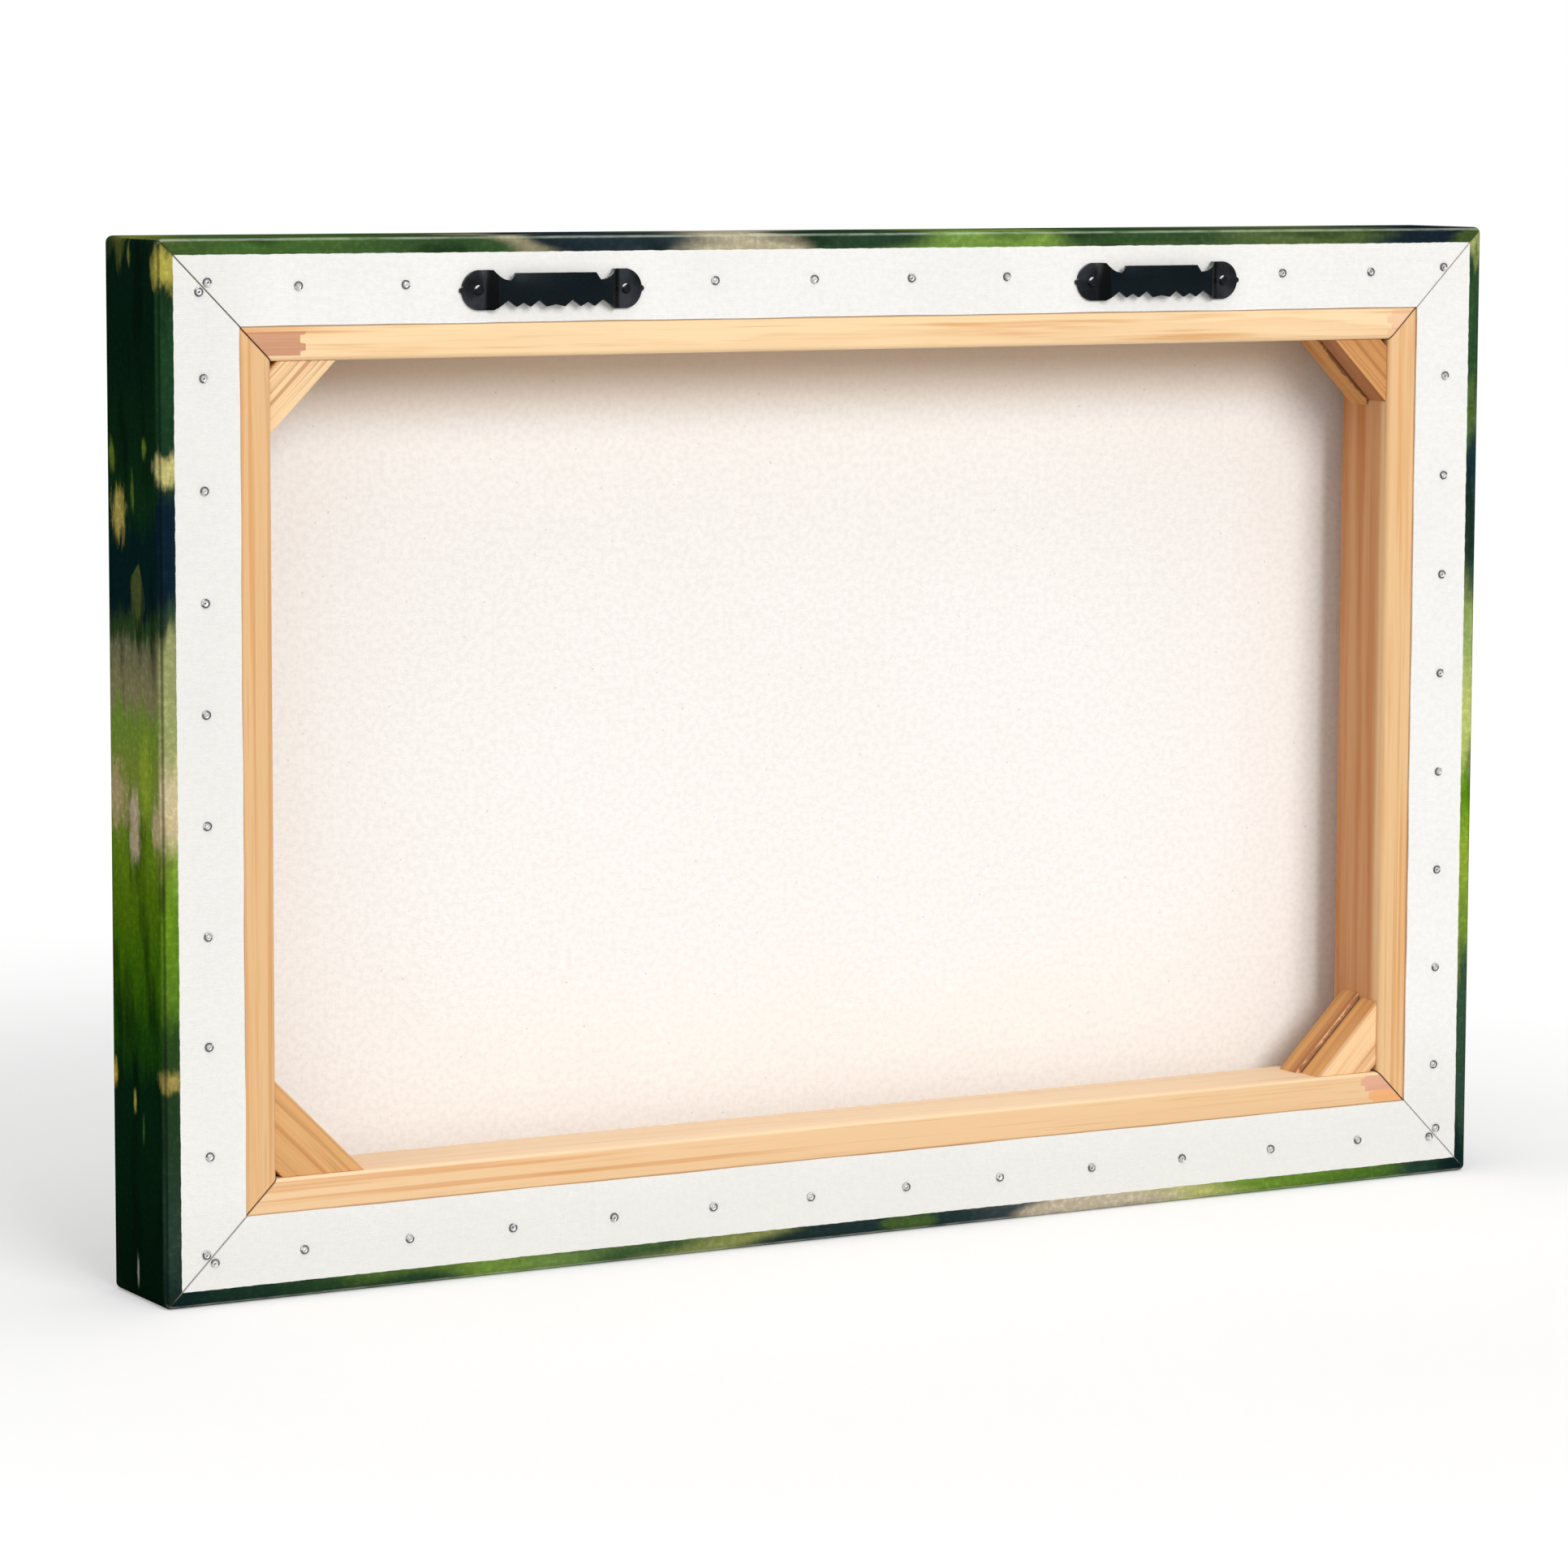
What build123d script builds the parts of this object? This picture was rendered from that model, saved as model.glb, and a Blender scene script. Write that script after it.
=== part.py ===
from build123d import *
import os
from math import sqrt

os.makedirs("parts", exist_ok=True)

# A gallery-wrapped canvas on a mitred pine stretcher frame, standing on its bottom edge.
# Millimetres. +Z is up, the picture faces -Y and the bare back of the frame faces +Y.
# Left and right are as seen from the picture side, so left is -X.
# The origin is the centre of the bottom edge's flat face.

# ---- driving dimensions -------------------------------------------------------------
WIDTH = 457.2          # over the cloth, along X
HEIGHT = 304.8         # over the cloth, along Z
DEPTH = 38.1           # over the cloth, along Y
CLOTH = 0.5            # canvas thickness
FOLD_RADIUS = 2.0      # outside of the cloth where it folds over an edge
FLAP = 25.0            # cloth turned over the back, from the outer edge
FLAP_SLIT = 0.25       # width of the mitre cut between two flaps

BAR_FACE = 35.0        # width of a bar seen from behind, from the outer edge
BAR_INNER_DEPTH = 25.0 # height of a bar's inner edge
BAR_LIP = 6.0          # flat lip along the front outer edge that holds the cloth off
BAR_EDGE_RADIUS = 1.5  # rounding of the inner back edge
MITRE_GAP = 0.3        # open line between two mitred bar ends

BLOCK_LEGS = {         # leg of each corner block's back ply, along the bars
    "top_left": 20.0,
    "top_right": 21.0,
    "bottom_left": 23.0,
    "bottom_right": 28.5,
}
BLOCK_PLY = 9.5        # thickness of one ply
BLOCK_STEP = 1.5       # how much longer the front ply's legs are
BLOCK_CLIP = 2.5       # clipped right-angled corner
BLOCK_CHAMFER = 0.7    # eased long edge, which opens a groove between the plies

TACK_INSET = 13.8      # tack line, from the outer edge
TACK_PITCH_WIDE = 33.7 # along the top and bottom bars
TACKS_WIDE = 6         # each way from the middle
TACK_PITCH_TALL = 31.7 # along the left and right bars
TACKS_TALL = 8
TACK_LOWEST = {"left": 36.0, "right": 43.5}
LONE_TACK_CORNER = (-1, 1) # this corner has one tack beside its mitre, not two
TACK_HEAD_RADIUS = 1.5
TACK_HEAD_HEIGHT = 0.8
TACK_CUP_RADIUS = 0.85
TACK_CUP_DEPTH = 0.45
TACK_SHANK_RADIUS = 0.5
TACK_LENGTH = 9.0
TACK_POINT = 1.5
CORNER_TACK_OFFSET = 1.3   # each way from the mitre line

HANGER_X = 104.8       # centre of each hanger from the middle
HANGER_Z = HEIGHT - 15.7
HANGER_SHEET = 1.0
HANGER_RISE = 2.2      # the toothed middle stands this far off the flap
HANGER_PLATE = 4.9     # half height of the middle plate
HANGER_PAD = 5.8       # half height of an end pad
HANGER_BEND_OUT = 20.8 # foot of the bend, from the hanger's centre
HANGER_BEND_IN = 18.2  # top of the bend
HANGER_HALF = 30.0     # half the overall length
HANGER_NAIL_X = 24.0
HANGER_HOLE_RADIUS = 0.95

NAIL_HEAD_RADIUS = 1.5
NAIL_HEAD_HEIGHT = 0.9
NAIL_SHANK_RADIUS = 0.8
NAIL_LENGTH = 15.0
NAIL_POINT = 2.0

VNAIL_INSETS = (7.0, 21.0) # along each mitre, from the outer edge
VNAIL_ARM = 3.2
VNAIL_SHEET = 0.5
VNAIL_DEPTH = 10.0
VNAIL_SUNK = 0.5

OVERCUT = 5.0          # how far a cutting shape reaches past what it cuts

# ---- places that follow from them ---------------------------------------------------
HALF_W = WIDTH / 2
BACK = DEPTH / 2                     # outside of the flaps
BAR_BACK = BACK - CLOTH
INNER_X = HALF_W - BAR_FACE
INNER_LOW = BAR_FACE
INNER_HIGH = HEIGHT - BAR_FACE
CENTRE = Pos(0, 0, HEIGHT / 2)
CORNERS = {
    "top_left": (-1, 1),
    "top_right": (1, 1),
    "bottom_left": (-1, -1),
    "bottom_right": (1, -1),
}


def prism(points, y_low, y_high):
    """Extrude an outline given as (x, z) points from y_low to y_high."""
    face = make_face(Polyline(*points, close=True))
    return extrude(Plane.XZ.offset(-y_low) * face, amount=-(y_high - y_low))


def inset_point(side_x, side_z, inset_x, inset_z):
    """A point measured inwards from the outer corner on the given sides."""
    x = side_x * (HALF_W - inset_x)
    z = HEIGHT - inset_z if side_z > 0 else inset_z
    return (x, z)


def rod(x, z, y_top, length, radius, point):
    """A pointed round shank that runs from y_top towards the picture."""
    straight = length - point
    shank = Pos(0, 0, straight / 2) * Cylinder(radius, straight)
    tip = Pos(0, 0, straight + point / 2) * Cone(radius, radius / 4, point)
    return Pos(x, y_top, z) * Rot(90, 0, 0) * (shank + tip)


def disc(x, z, y_low, height, radius):
    """A round disc whose axis is Y, from y_low upwards."""
    return Pos(x, y_low + height / 2, z) * Rot(90, 0, 0) * Cylinder(radius, height)


# ---- cloth and frame ----------------------------------------------------------------
def wrapped_box(shrink):
    """The outside of the whole object, made smaller by the same amount all round."""
    box = CENTRE * Box(WIDTH - 2 * shrink, DEPTH - 2 * shrink, HEIGHT - 2 * shrink)
    return fillet(box.edges(), FOLD_RADIUS - shrink)


def make_cloth():
    """One folded sheet: picture, four sides and four back flaps cut at the mitres."""
    window = CENTRE * Pos(0, BACK, 0) * Box(WIDTH - 2 * FLAP, BACK, HEIGHT - 2 * FLAP)
    cloth = wrapped_box(0) - wrapped_box(CLOTH) - window
    for side_x, side_z in CORNERS.values():
        start = inset_point(side_x, side_z, FOLD_RADIUS, FOLD_RADIUS)
        end = inset_point(side_x, side_z, FLAP + OVERCUT, FLAP + OVERCUT)
        shift_x = side_x * FLAP_SLIT / sqrt(8)
        shift_z = side_z * FLAP_SLIT / sqrt(8)
        outline = [
            (start[0] - shift_x, start[1] + shift_z),
            (start[0] + shift_x, start[1] - shift_z),
            (end[0] + shift_x, end[1] - shift_z),
            (end[0] - shift_x, end[1] + shift_z),
        ]
        cloth -= prism(outline, BAR_BACK - CLOTH, BACK + OVERCUT)
    return cloth


def make_frame():
    """All four bars as one ring, with the front sloped back from the lip."""
    opening = CENTRE * Box(2 * INNER_X, 2 * DEPTH, INNER_HIGH - INNER_LOW)
    front_y = -BAR_BACK
    slope_y = BAR_BACK - BAR_INNER_DEPTH
    front = Plane.XZ.offset(-front_y) * Pos(0, HEIGHT / 2) * Rectangle(
        WIDTH - 2 * BAR_LIP, HEIGHT - 2 * BAR_LIP)
    back = Plane.XZ.offset(-slope_y) * Pos(0, HEIGHT / 2) * Rectangle(
        2 * INNER_X, INNER_HIGH - INNER_LOW)
    return wrapped_box(CLOTH) - opening - loft([front, back])


def bar_region(side):
    """The mitred part of the frame that belongs to one bar."""
    outside = -OVERCUT
    inside = BAR_FACE + OVERCUT
    gap = MITRE_GAP / sqrt(2)
    if side in ("top", "bottom"):
        side_z = 1 if side == "top" else -1
        outline = [
            inset_point(-1, side_z, outside + gap, outside),
            inset_point(1, side_z, outside + gap, outside),
            inset_point(1, side_z, inside + gap, inside),
            inset_point(-1, side_z, inside + gap, inside),
        ]
    else:
        side_x = 1 if side == "right" else -1
        outline = [
            inset_point(side_x, -1, outside, outside + gap),
            inset_point(side_x, 1, outside, outside + gap),
            inset_point(side_x, 1, inside, inside + gap),
            inset_point(side_x, -1, inside, inside + gap),
        ]
    return prism(outline, -DEPTH, DEPTH)


def inner_back_edge(bar, side):
    """The long edge of a bar that shows beside the opening, on the back."""
    places = {
        "top": (0, INNER_HIGH),
        "bottom": (0, INNER_LOW),
        "left": (-INNER_X, HEIGHT / 2),
        "right": (INNER_X, HEIGHT / 2),
    }
    x, z = places[side]
    return bar.edges().sort_by_distance((x, BAR_BACK, z))[0]


def make_bar(frame, side):
    bar = (frame & bar_region(side)).solids()[0]
    return fillet([inner_back_edge(bar, side)], BAR_EDGE_RADIUS)


# ---- corner blocks ------------------------------------------------------------------
def make_ply(corner, layer):
    """One triangular ply, glued into the angle between two bars."""
    side_x, side_z = CORNERS[corner]
    leg = BLOCK_LEGS[corner] + (BLOCK_STEP if layer == "front" else 0)
    y_high = BAR_BACK - BAR_EDGE_RADIUS - (BLOCK_PLY if layer == "front" else 0)
    points = [(BLOCK_CLIP, 0), (leg, 0), (0, leg), (0, BLOCK_CLIP)]
    outline = [inset_point(side_x, side_z, BAR_FACE + a, BAR_FACE + b) for a, b in points]
    ply = prism(outline, y_high - BLOCK_PLY, y_high)
    meeting_y = y_high if layer == "front" else y_high - BLOCK_PLY
    middle = inset_point(side_x, side_z, BAR_FACE + leg / 2, BAR_FACE + leg / 2)
    edge = ply.edges().sort_by_distance((middle[0], meeting_y, middle[1]))[0]
    return chamfer([edge], BLOCK_CHAMFER)


# ---- tacks --------------------------------------------------------------------------
def make_tack(x, z):
    """A small tack with a cupped round head, driven through the flap."""
    head = disc(x, z, BACK, TACK_HEAD_HEIGHT, TACK_HEAD_RADIUS)
    head = fillet(head.edges().sort_by(Axis.Y)[-1:], TACK_HEAD_HEIGHT / 2)
    cup_floor = BACK + TACK_HEAD_HEIGHT - TACK_CUP_DEPTH
    cup = disc(x, z, cup_floor, TACK_HEAD_HEIGHT, TACK_CUP_RADIUS)
    return head - cup + rod(x, z, BACK, TACK_LENGTH, TACK_SHANK_RADIUS, TACK_POINT)


def tack_places(side):
    """Centres of the tacks in one bar, with the ones beside its mitres."""
    near = TACK_INSET + CORNER_TACK_OFFSET
    far = TACK_INSET - CORNER_TACK_OFFSET
    places = []
    if side in ("top", "bottom"):
        side_z = 1 if side == "top" else -1
        z_line = HEIGHT - TACK_INSET if side == "top" else TACK_INSET
        for k in range(TACKS_WIDE):
            x = TACK_PITCH_WIDE * (k + 0.5)
            under_hanger = side == "top" and abs(x - HANGER_X) < HANGER_HALF
            if not under_hanger:
                places += [(x, z_line), (-x, z_line)]
        places += [inset_point(side_x, side_z, near, far) for side_x in (-1, 1)]
    else:
        side_x = 1 if side == "right" else -1
        x_line = side_x * (HALF_W - TACK_INSET)
        lowest = TACK_LOWEST[side]
        places += [(x_line, lowest + TACK_PITCH_TALL * k) for k in range(TACKS_TALL)]
        for side_z in (-1, 1):
            if (side_x, side_z) != LONE_TACK_CORNER:
                places.append(inset_point(side_x, side_z, far, near))
    return places


# ---- hangers ------------------------------------------------------------------------
def hanger_outline():
    """Half of the hanger seen from behind, from its middle to its tip."""
    plate = HANGER_PLATE
    pad = HANGER_PAD
    teeth = [
        (0, -plate + 0.6), (3.0, -plate), (5.4, -plate + 1.9), (8.2, -plate),
        (10.5, -plate + 1.2), (12.7, -plate), (15.4, -plate + 1.9), (19.7, -pad),
        (24.2, -pad),
    ]
    lower = Polyline(*teeth)
    lower_round = ThreePointArc((24.2, -pad), (27.8, -3.9), (29.2, -0.9))
    tip = ThreePointArc((29.2, -0.9), (HANGER_HALF, 0), (29.2, 0.9))
    upper_round = ThreePointArc((29.2, 0.9), (27.8, 3.9), (24.2, pad))
    top_pad = Line((24.2, pad), (19.7, pad))
    notch = ThreePointArc((19.7, pad), (17.4, 3.5), (14.6, 2.8))
    top = Polyline((14.6, 2.8), (13.1, plate), (0, plate), (0, -plate + 0.6))
    return make_face([lower, lower_round, tip, upper_round, top_pad, notch, top])


def hanger_side():
    """Half of the hanger seen from above: pad, bend and raised middle."""
    low = BACK
    high = BACK + HANGER_RISE
    sheet = HANGER_SHEET
    slant = 0.35       # keeps the bend about as thick as the sheet
    return [
        (0, high), (HANGER_BEND_IN - slant, high), (HANGER_BEND_OUT - slant, low),
        (HANGER_HALF + 1, low), (HANGER_HALF + 1, low + sheet),
        (HANGER_BEND_OUT + slant, low + sheet), (HANGER_BEND_IN + slant, high + sheet),
        (0, high + sheet),
    ]


def make_hanger(x_centre):
    """A stamped sawtooth hanger, bent so that its toothed middle clears the flap."""
    outline = extrude(Plane.XZ.offset(OVERCUT - BACK) * hanger_outline(), amount=-3 * OVERCUT)
    side = make_face(Polyline(*hanger_side(), close=True))
    strip = Pos(0, 0, -2 * HANGER_PAD) * extrude(side, amount=4 * HANGER_PAD)
    half = outline & strip
    half -= disc(HANGER_NAIL_X, 0, BACK - OVERCUT, 2 * OVERCUT, HANGER_HOLE_RADIUS)
    whole = half + mirror(half, about=Plane.YZ)
    return Pos(x_centre, 0, HANGER_Z) * whole


def nail_places(side_x):
    centre = side_x * HANGER_X
    return [(centre - HANGER_NAIL_X, HANGER_Z), (centre + HANGER_NAIL_X, HANGER_Z)]


def make_nail(x, z):
    """A round-headed nail that holds one end of a hanger."""
    seat = BACK + HANGER_SHEET
    head = disc(x, z, seat, NAIL_HEAD_HEIGHT, NAIL_HEAD_RADIUS)
    head = fillet(head.edges().sort_by(Axis.Y)[-1:], NAIL_HEAD_HEIGHT * 0.8)
    return head + rod(x, z, seat, NAIL_LENGTH, NAIL_SHANK_RADIUS, NAIL_POINT)


# ---- V-nails ------------------------------------------------------------------------
def make_vnails(corner):
    """Two V-shaped steel strips across a mitre, driven in from the back."""
    side_x, side_z = CORNERS[corner]
    y_high = BAR_BACK - VNAIL_SUNK
    nails = []
    for inset in VNAIL_INSETS:
        arm = VNAIL_ARM
        skin = VNAIL_SHEET
        outline = [
            inset_point(side_x, side_z, inset + a, inset + b)
            for a, b in [(0, 0), (arm, 0), (arm, skin), (skin, skin), (skin, arm), (0, arm)]
        ]
        nails.append(prism(outline, y_high - VNAIL_DEPTH, y_high))
    return nails


# ---- assembly -----------------------------------------------------------------------
SIDES = ("top", "bottom", "left", "right")
nodes = {}

vnails = {corner: make_vnails(corner) for corner in CORNERS}
tacks = {side: tack_places(side) for side in SIDES}
nails = {"left": nail_places(-1), "right": nail_places(1)}

tack_shanks = {
    side: [rod(x, z, BACK, TACK_LENGTH, TACK_SHANK_RADIUS, TACK_POINT) for x, z in tacks[side]]
    for side in SIDES
}
nail_shanks = [
    rod(x, z, BACK + HANGER_SHEET, NAIL_LENGTH, NAIL_SHANK_RADIUS, NAIL_POINT)
    for places in nails.values() for x, z in places
]

cloth = make_cloth() - nail_shanks
for side in SIDES:
    cloth -= tack_shanks[side]
nodes["canvas"] = [cloth]

frame = make_frame()
for side in SIDES:
    bar = make_bar(frame, side) - tack_shanks[side]
    for pair in vnails.values():
        bar -= pair
    if side == "top":
        bar -= nail_shanks
    nodes["stretcher_bar_" + side] = [bar]
    nodes["tacks_" + side] = [make_tack(x, z) for x, z in tacks[side]]

for corner in CORNERS:
    nodes["corner_block_" + corner + "_back"] = [make_ply(corner, "back")]
    nodes["corner_block_" + corner + "_front"] = [make_ply(corner, "front")]
    nodes["v_nails_" + corner] = vnails[corner]

for side, side_x in (("left", -1), ("right", 1)):
    nodes["sawtooth_hanger_" + side] = [make_hanger(side_x * HANGER_X)]
    nodes["hanger_nails_" + side] = [make_nail(x, z) for x, z in nails[side]]

for name, pieces in nodes.items():
    solids = [solid for piece in pieces for solid in piece.solids()]
    shape = solids[0] if len(solids) == 1 else Compound(children=solids)
    export_step(shape, "parts/" + name + ".step")
    print(name, len(solids))
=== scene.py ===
import bmesh
import bpy
import math
import random
from mathutils import Matrix, Vector


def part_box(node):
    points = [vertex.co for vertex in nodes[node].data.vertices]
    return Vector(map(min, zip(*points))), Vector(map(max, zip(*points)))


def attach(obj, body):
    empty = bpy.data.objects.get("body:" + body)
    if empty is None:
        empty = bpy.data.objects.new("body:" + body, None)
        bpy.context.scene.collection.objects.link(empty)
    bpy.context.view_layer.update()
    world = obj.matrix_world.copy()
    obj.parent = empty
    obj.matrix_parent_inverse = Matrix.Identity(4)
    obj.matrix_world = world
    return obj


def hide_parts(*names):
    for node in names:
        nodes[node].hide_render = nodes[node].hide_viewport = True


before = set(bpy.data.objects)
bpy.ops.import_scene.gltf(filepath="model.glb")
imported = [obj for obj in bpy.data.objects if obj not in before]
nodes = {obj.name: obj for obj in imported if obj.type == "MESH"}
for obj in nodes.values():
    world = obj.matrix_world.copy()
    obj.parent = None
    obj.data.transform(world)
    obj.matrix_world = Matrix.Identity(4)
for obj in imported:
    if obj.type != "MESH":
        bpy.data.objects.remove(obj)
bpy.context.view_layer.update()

random.seed(7)

# ---- sizes, in metres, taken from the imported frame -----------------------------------
canvas_low, canvas_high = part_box("canvas")
WIDTH = canvas_high.x - canvas_low.x
HEIGHT = canvas_high.z - canvas_low.z
DEPTH = canvas_high.y - canvas_low.y
HALF_W = WIDTH / 2
FRONT = canvas_low.y     # the picture
BACK = canvas_high.y     # the outside of the flaps

# ---- sizes of the real piece, in metres --------------------------------------------------
FOLD = 0.002             # outside radius where the cloth folds over an edge
FLAP = 0.025             # cloth turned over the back, from the outer edge
SLIT = 0.0001            # half width of the cut between two flaps
CLOTH = 0.00045          # thickness
BLEED = 0.0048           # printed part of the flap, from the outer edge
BAR_FACE = 0.035         # width of a bar's back face
THREAD = 0.00062         # distance between two threads
LEVEL_PITCH = 0.0337     # between two tacks on the top and bottom bars
UPRIGHT_PITCH = 0.0317   # between two tacks on the side bars
UPRIGHT_SHIFT = 0.0095   # from the middle of a side bar to the point between two tacks
TACK_INSET = 0.0138      # from the outer edge to the tacks
HANGER_X = 0.1048        # hangers from the middle of the top bar
HANGER_REACH = 0.03162   # half of the cloth that a hanger presses flat


def srgb(red, green, blue, alpha=1.0):
    """A display colour, 0 to 255, as the linear colour that a shader takes."""
    linear = []
    for level in (red, green, blue):
        c = level / 255
        linear.append(c / 12.92 if c <= 0.04045 else ((c + 0.055) / 1.055) ** 2.4)
    return (*linear, alpha)


# ---- shader helper --------------------------------------------------------------------
class Shader:
    """Builds one procedural material, node by node."""

    def __init__(self, name):
        self.material = bpy.data.materials.new(name)
        self.material.use_nodes = True
        self.tree = self.material.node_tree
        self.tree.nodes.clear()

    def add(self, kind, settings=None, inputs=None):
        made = self.tree.nodes.new("ShaderNode" + kind)
        for key, value in (settings or {}).items():
            setattr(made, key, value)
        for key, value in (inputs or {}).items():
            if isinstance(value, bpy.types.NodeSocket):
                self.tree.links.new(value, made.inputs[key])
            else:
                made.inputs[key].default_value = value
        return made

    def position(self):
        return self.add("TexCoord").outputs["Object"]

    def uv(self, name):
        return self.add("UVMap", {"uv_map": name}).outputs[0]

    def math(self, operation, *values):
        return self.add("Math", {"operation": operation}, dict(enumerate(values))).outputs[0]

    def times(self, first, second):
        return self.math("MULTIPLY", first, second)

    def times_plus(self, first, second, third):
        return self.math("MULTIPLY_ADD", first, second, third)

    def minus(self, first, second):
        return self.math("SUBTRACT", first, second)

    def absolute(self, value):
        return self.math("ABSOLUTE", value)

    def split(self, vector):
        made = self.add("SeparateXYZ", inputs={0: vector})
        return made.outputs[0], made.outputs[1], made.outputs[2]

    def join(self, x, y, z):
        return self.add("CombineXYZ", inputs={0: x, 1: y, 2: z}).outputs[0]

    def stretch(self, vector, by, offset=(0, 0, 0)):
        """Vector times by, plus offset."""
        return self.add(
            "VectorMath", {"operation": "MULTIPLY_ADD"}, {0: vector, 1: by, 2: offset}
        ).outputs[0]

    def turn_y(self, vector, angle):
        settings = {"rotation_type": "Y_AXIS"}
        return self.add("VectorRotate", settings, {"Vector": vector, "Angle": angle}).outputs[0]

    def noise(self, vector, scale=1.0, detail=2.0, roughness=0.5):
        return self.add("TexNoise", inputs={
            "Vector": vector, "Scale": scale, "Detail": detail, "Roughness": roughness,
        }).outputs["Fac"]

    def cells(self, vector):
        """Distance to the nearest scattered point, and that point's random colour."""
        made = self.add("TexVoronoi", inputs={"Vector": vector, "Scale": 1.0})
        return made.outputs["Distance"], made.outputs["Color"]

    def ramp(self, value, stops):
        """Display colours at places from 0 to 1, eased into each other."""
        made = self.add("ValToRGB", inputs={0: value})
        ramp = made.color_ramp
        ramp.interpolation = "EASE"
        while len(ramp.elements) > 1:
            ramp.elements.remove(ramp.elements[-1])
        for number, (place, colour) in enumerate(stops):
            element = ramp.elements[0] if number == 0 else ramp.elements.new(place)
            element.position = place
            element.color = srgb(*colour)
        return made.outputs[0]

    def mix(self, factor, first, second):
        settings = {"data_type": "RGBA", "clamp_factor": True}
        return self.add("Mix", settings, {0: factor, 6: first, 7: second}).outputs[2]

    def fade(self, value, start, end, low=0.0, high=1.0):
        """Smooth step of value from low at start to high at end."""
        settings = {"interpolation_type": "SMOOTHSTEP", "clamp": True}
        return self.add("MapRange", settings, {
            "Value": value, "From Min": start, "From Max": end, "To Min": low, "To Max": high,
        }).outputs[0]

    def normal(self):
        """The surface's direction, as its x, y and z parts."""
        return self.split(self.add("NewGeometry").outputs["Normal"])

    def bump(self, height, distance, strength):
        inputs = {"Height": height, "Distance": distance, "Strength": strength}
        return self.add("Bump", inputs=inputs).outputs[0]

    def finish(self, **inputs):
        """Principled surface. Inputs are its sockets' names in lower case with underscores."""
        named = {key.replace("_", " ").title().replace("Ior", "IOR"): value
                 for key, value in inputs.items()}
        surface = self.add("BsdfPrincipled", inputs=named)
        self.add("OutputMaterial", inputs={"Surface": surface.outputs[0]})
        return self.material


# ---- cloth: weave and picture -----------------------------------------------------------
def weave(s):
    """Height of an uneven plain weave, in the unfolded cloth's own directions, and its nubs."""
    cloth = s.uv("Weave")
    wobble = s.noise(s.stretch(cloth, (220, 220, 0)), detail=1.0)
    drift = s.times(s.minus(wobble, 0.5), 2.2)
    across, along, _ = s.split(cloth)
    turns = math.pi / THREAD
    a = s.math("ADD", s.times(across, turns), drift)
    b = s.minus(s.times(along, turns), drift)
    warp = s.absolute(s.math("SINE", a))
    weft = s.absolute(s.math("SINE", b))
    over = s.fade(s.times(s.math("COSINE", a), s.math("COSINE", b)), -0.4, 0.4)
    crossing = s.times_plus(warp, over, s.times(weft, s.minus(1.0, over)))
    slub = s.noise(s.stretch(cloth, (900, 90, 0)), detail=1.0)
    slub_2 = s.noise(s.stretch(cloth, (90, 900, 0)), detail=1.0)
    nubs = s.noise(s.stretch(cloth, (520, 520, 0)), detail=2.0, roughness=0.6)
    height = s.times(crossing, 0.45)
    for layer, share in ((slub, 0.3), (slub_2, 0.3), (nubs, 0.9)):
        height = s.times_plus(layer, share, height)
    return height, nubs


def insets(s, x, z):
    """How far a point lies in from the nearer upright edge and from the nearer level edge."""
    middle = HEIGHT / 2
    above = s.absolute(s.minus(z, middle))
    return s.minus(HALF_W, s.absolute(x)), s.minus(middle, above)


def mitre_line(s, x, z, outer, inner):
    """1 in a thin strip along the nearest mitre, fading out between two half widths."""
    off = s.absolute(s.minus(*insets(s, x, z)))
    return s.fade(off, outer, inner)


STRIP_FADE = (0.017, 0.003)    # the edges' colours reach in from the outline this far
# Display colours along the printed edges, each at its share of the edge's length.
PLUS_X_SIDE = (          # up the +X side
    (0.00, (6, 28, 15)), (0.20, (10, 40, 20)), (0.25, (30, 72, 15)), (0.31, (65, 108, 13)),
    (0.38, (88, 122, 18)), (0.43, (105, 138, 28)), (0.50, (130, 148, 60)),
    (0.545, (122, 150, 58)), (0.58, (140, 135, 95)), (0.615, (120, 120, 88)),
    (0.635, (50, 75, 38)), (0.66, (12, 35, 38)), (0.72, (10, 35, 35)), (0.76, (18, 50, 25)),
    (0.82, (15, 42, 22)), (0.90, (10, 35, 22)), (1.00, (12, 35, 25)),
)
PLUS_X_STRIP = (         # up the strip that is turned over behind it
    (0.00, (20, 36, 34)), (0.06, (40, 58, 48)), (0.18, (34, 56, 34)), (0.25, (40, 66, 30)),
    (0.30, (84, 122, 30)), (0.37, (104, 140, 32)), (0.42, (120, 150, 50)),
    (0.455, (196, 182, 140)), (0.49, (200, 186, 145)), (0.53, (150, 156, 100)),
    (0.62, (146, 150, 100)), (0.645, (50, 70, 50)), (0.67, (14, 32, 44)),
    (0.745, (14, 30, 46)), (0.78, (26, 54, 34)), (0.90, (30, 62, 36)), (1.00, (40, 64, 40)),
)
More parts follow.
